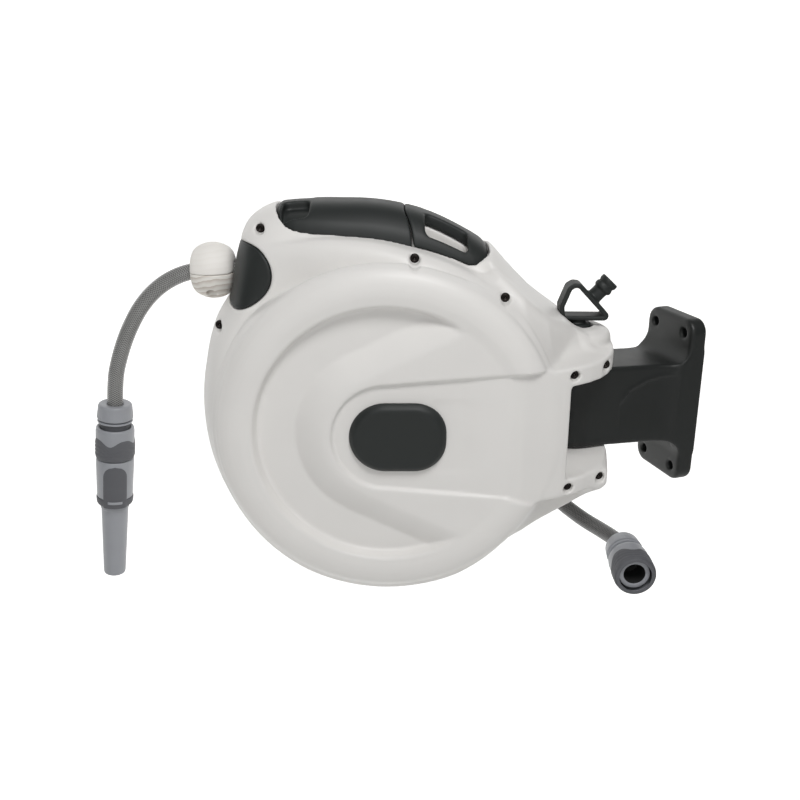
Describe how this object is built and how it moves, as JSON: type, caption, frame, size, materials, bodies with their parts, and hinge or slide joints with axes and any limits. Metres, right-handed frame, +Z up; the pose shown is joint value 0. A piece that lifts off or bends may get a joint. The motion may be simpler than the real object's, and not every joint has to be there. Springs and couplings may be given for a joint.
{
  "type": "wall mounted hose reel",
  "caption": "Wall mounted garden hose reel with a round closed casing that swivels on a hinged wall bracket, an automatic rewind drum, a carry grip and a hose with a spray nozzle.",
  "frame": {"origin": "centre of the wall plate's back face, in the middle of its four screw holes", "axes": "+X runs into the wall, +Z is up"},
  "size_m": [0.5283, 0.3143, 0.3566],
  "materials": {
    "casing_shell": "satin",
    "dark_plastic": "satin",
    "bracket_plastic": "matte",
    "grey_plastic": "satin",
    "grip_rubber": "matte",
    "braided_hose": "satin",
    "dark_hose": "satin",
    "stopper_plastic": "satin",
    "drum_plastic": "matte",
    "steel": "brushed",
    "spring_steel": "oiled",
    "bush_plastic": "satin",
    "seal_rubber": "matte",
    "axle_brass": "satin"
  },
  "bodies": {
    "bracket": {"wall_bracket": "bracket_plastic", "hinge_bushes": "bush_plastic"},
    "reel": {"front_casing": "casing_shell", "back_casing": "casing_shell", "front_hub_cap": "dark_plastic", "back_hub_cap": "dark_plastic", "grip_cover": "dark_plastic", "carry_handle": "dark_plastic", "outlet_bezel": "dark_plastic", "casing_screws": "steel", "roller_frame": "drum_plastic", "roller_pins": "steel", "axle": "axle_brass", "axle_seals": "seal_rubber", "inlet_elbow": "drum_plastic", "feed_hose": "dark_hose", "inlet_gland": "dark_plastic", "pawl_post": "steel", "pawl_spring": "spring_steel", "outlet_hose": "braided_hose", "ball_upper": "stopper_plastic", "ball_lower": "stopper_plastic", "ball_screws": "steel", "hose_nut": "grey_plastic", "connector_body": "grip_rubber", "connector_seal": "seal_rubber", "nozzle_body": "grey_plastic", "nozzle_inlay": "grip_rubber", "inlet_hose": "dark_hose", "inlet_nut": "grey_plastic", "inlet_body": "grip_rubber", "inlet_seal": "seal_rubber"},
    "drum": {"drum_core": "drum_plastic", "front_flange": "drum_plastic", "back_flange": "drum_plastic", "drum_bushes": "bush_plastic", "hose_coil": "braided_hose", "spring_case": "steel", "power_spring": "spring_steel", "spring_cover": "steel", "ratchet_ring": "steel"},
    "pawl_arm": {"pawl": "steel"},
    "pin": {"pivot_pin": "dark_plastic"},
    "guide_top": {"roller_top": "bush_plastic"},
    "guide_bottom": {"roller_bottom": "bush_plastic"},
    "guide_front": {"roller_front": "bush_plastic"},
    "guide_back": {"roller_back": "bush_plastic"},
    "hose_sleeve": {"release_sleeve": "grip_rubber"},
    "supply_sleeve": {"inlet_sleeve": "grip_rubber"},
    "tip": {"nozzle_tip": "grey_plastic"}
  },
  "joints": [
    {"name": "swivel", "type": "hinge", "parent": "bracket", "child": "reel", "pos_m": [-0.112, 0, 0.007], "axis": [0, 0, 1], "range_deg": [-55, 92]},
    {"name": "drum_spin", "type": "hinge", "parent": "reel", "child": "drum", "pos_m": [-0.26824, 0.05304, 0.007], "axis": [-0.3214, -0.9469, 0], "continuous": true},
    {"name": "pawl_swing", "type": "hinge", "parent": "reel", "child": "pawl_arm", "pos_m": [-0.22455, -0.02357, 0.083], "axis": [-0.3214, -0.9469, 0], "range_deg": [-25, 2], "stiffness_Nm_per_rad": 0.02},
    {"name": "pin_pull", "type": "slide", "parent": "reel", "child": "pin", "axis": [0, 0, 1], "range_m": [0, 0.12]},
    {"name": "roller_top_spin", "type": "hinge", "parent": "reel", "child": "guide_top", "pos_m": [-0.3743, 0.08904, 0.1359], "axis": [-0.3214, -0.9469, 0], "continuous": true},
    {"name": "roller_bottom_spin", "type": "hinge", "parent": "reel", "child": "guide_bottom", "pos_m": [-0.3743, 0.08904, 0.1101], "axis": [-0.3214, -0.9469, 0], "continuous": true},
    {"name": "roller_front_spin", "type": "hinge", "parent": "reel", "child": "guide_front", "pos_m": [-0.36727, 0.07303, 0.123], "axis": [0, 0, 1], "continuous": true},
    {"name": "roller_back_spin", "type": "hinge", "parent": "reel", "child": "guide_back", "pos_m": [-0.35898, 0.09746, 0.123], "axis": [0, 0, 1], "continuous": true},
    {"name": "sleeve_slide", "type": "slide", "parent": "reel", "child": "hose_sleeve", "axis": [0.099, -0.0336, 0.9945], "range_m": [0, 0.0035], "stiffness_N_per_m": 600},
    {"name": "supply_sleeve_slide", "type": "slide", "parent": "reel", "child": "supply_sleeve", "axis": [0.3214, 0.9469, 0], "range_m": [0, 0.0035], "stiffness_N_per_m": 600},
    {"name": "tip_twist", "type": "hinge", "parent": "reel", "child": "tip", "pos_m": [-0.51109, 0.13547, -0.09795], "axis": [0.099, -0.0336, 0.9945], "range_deg": [0, 270]}
  ]
}
